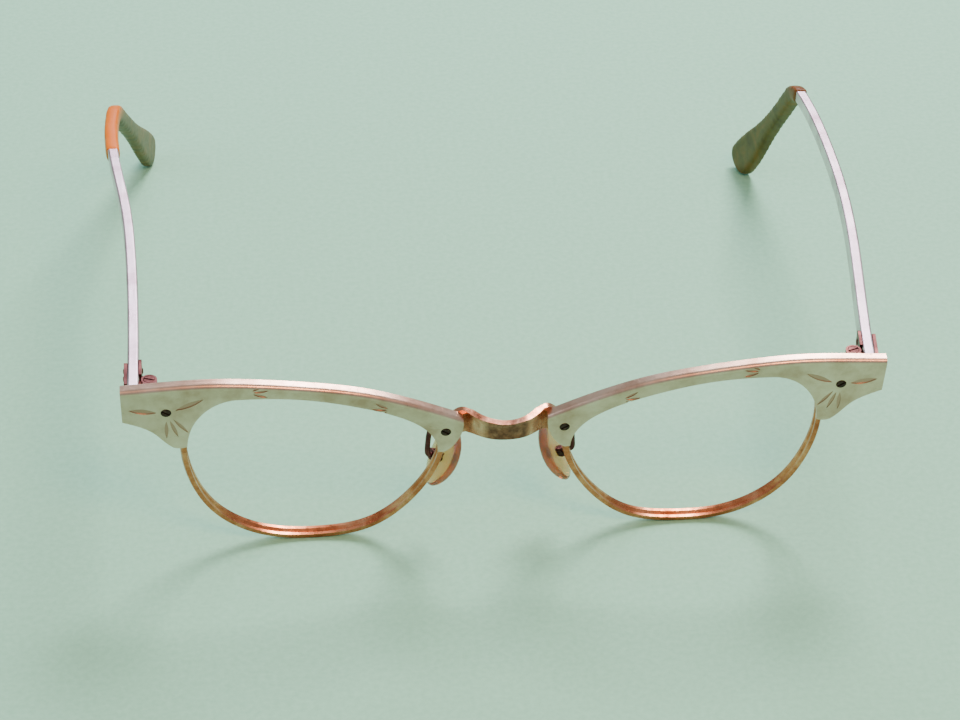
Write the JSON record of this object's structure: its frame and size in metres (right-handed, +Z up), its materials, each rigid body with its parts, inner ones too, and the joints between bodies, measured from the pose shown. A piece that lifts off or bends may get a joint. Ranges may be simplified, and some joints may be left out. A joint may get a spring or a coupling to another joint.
{
  "type": "eyeglasses frame",
  "caption": "Browline metal eyeglasses frame without lenses: metal brows over grooved eyewires, bowed bridge, nose pads on wire arms, folding temples with plastic tips.",
  "frame": {"origin": "on the table, at the middle of the frame's footprint, with the temples open and the frame standing on its eyewires and temple tips", "axes": "+X to the right seen from the front, +Y from the front towards the temple tips, +Z up"},
  "size_m": [0.1408, 0.1402, 0.0401],
  "materials": {
    "brow_aluminium": "satin anodised, rose tint",
    "temple_aluminium": "satin anodised",
    "rose_gold_wire": "gold-filled, worn to a rose tone",
    "hinge_metal": "tarnished",
    "dark_screw": "oxidised",
    "tip_acetate": "translucent amber, dulled",
    "pad_acetate": "translucent, yellowed"
  },
  "bodies": {
    "front": {"bridge": "rose_gold_wire", "brow_left": "brow_aluminium", "eyewire_left": "rose_gold_wire", "endpiece_left": "rose_gold_wire", "closing_block_left": "rose_gold_wire", "closing_screw_left": "dark_screw", "brow_screw_temporal_left": "dark_screw", "brow_screw_nasal_left": "dark_screw", "hinge_knuckles_left": "hinge_metal", "hinge_screw_left": "dark_screw", "pad_box_left": "rose_gold_wire", "pad_pin_left": "dark_screw", "pad_arm_left": "rose_gold_wire", "brow_right": "brow_aluminium", "eyewire_right": "rose_gold_wire", "endpiece_right": "rose_gold_wire", "closing_block_right": "rose_gold_wire", "closing_screw_right": "dark_screw", "brow_screw_temporal_right": "dark_screw", "brow_screw_nasal_right": "dark_screw", "hinge_knuckles_right": "hinge_metal", "hinge_screw_right": "dark_screw", "pad_box_right": "rose_gold_wire", "pad_pin_right": "dark_screw", "pad_arm_right": "rose_gold_wire"},
    "temple_left": {"temple_bar_left": "temple_aluminium", "hinge_leaf_left": "hinge_metal", "temple_shield_left": "hinge_metal", "temple_rivets_left": "hinge_metal", "temple_tip_left": "tip_acetate"},
    "temple_right": {"temple_bar_right": "temple_aluminium", "hinge_leaf_right": "hinge_metal", "temple_shield_right": "hinge_metal", "temple_rivets_right": "hinge_metal", "temple_tip_right": "tip_acetate"},
    "pad_left": {"nose_pad_left": "pad_acetate", "pad_lug_left": "rose_gold_wire"},
    "pad_right": {"nose_pad_right": "pad_acetate", "pad_lug_right": "rose_gold_wire"}
  },
  "joints": [
    {"name": "temple_left_fold", "type": "hinge", "parent": "front", "child": "temple_left", "pos_m": [-0.06172, -0.06426, 0.03643], "axis": [0, 0, -1], "range_deg": [0, 88]},
    {"name": "temple_right_fold", "type": "hinge", "parent": "front", "child": "temple_right", "pos_m": [0.05878, -0.06426, 0.03643], "axis": [0, 0, 1], "range_deg": [0, 70]},
    {"name": "pad_left_rock", "type": "hinge", "parent": "front", "child": "pad_left", "pos_m": [-0.01262, -0.05951, 0.01566], "axis": [-0.4067, 0.9135, 0], "range_deg": [-8, 8]},
    {"name": "pad_right_rock", "type": "hinge", "parent": "front", "child": "pad_right", "pos_m": [0.00968, -0.05951, 0.01566], "axis": [0.4067, 0.9135, 0], "range_deg": [-8, 8]}
  ]
}
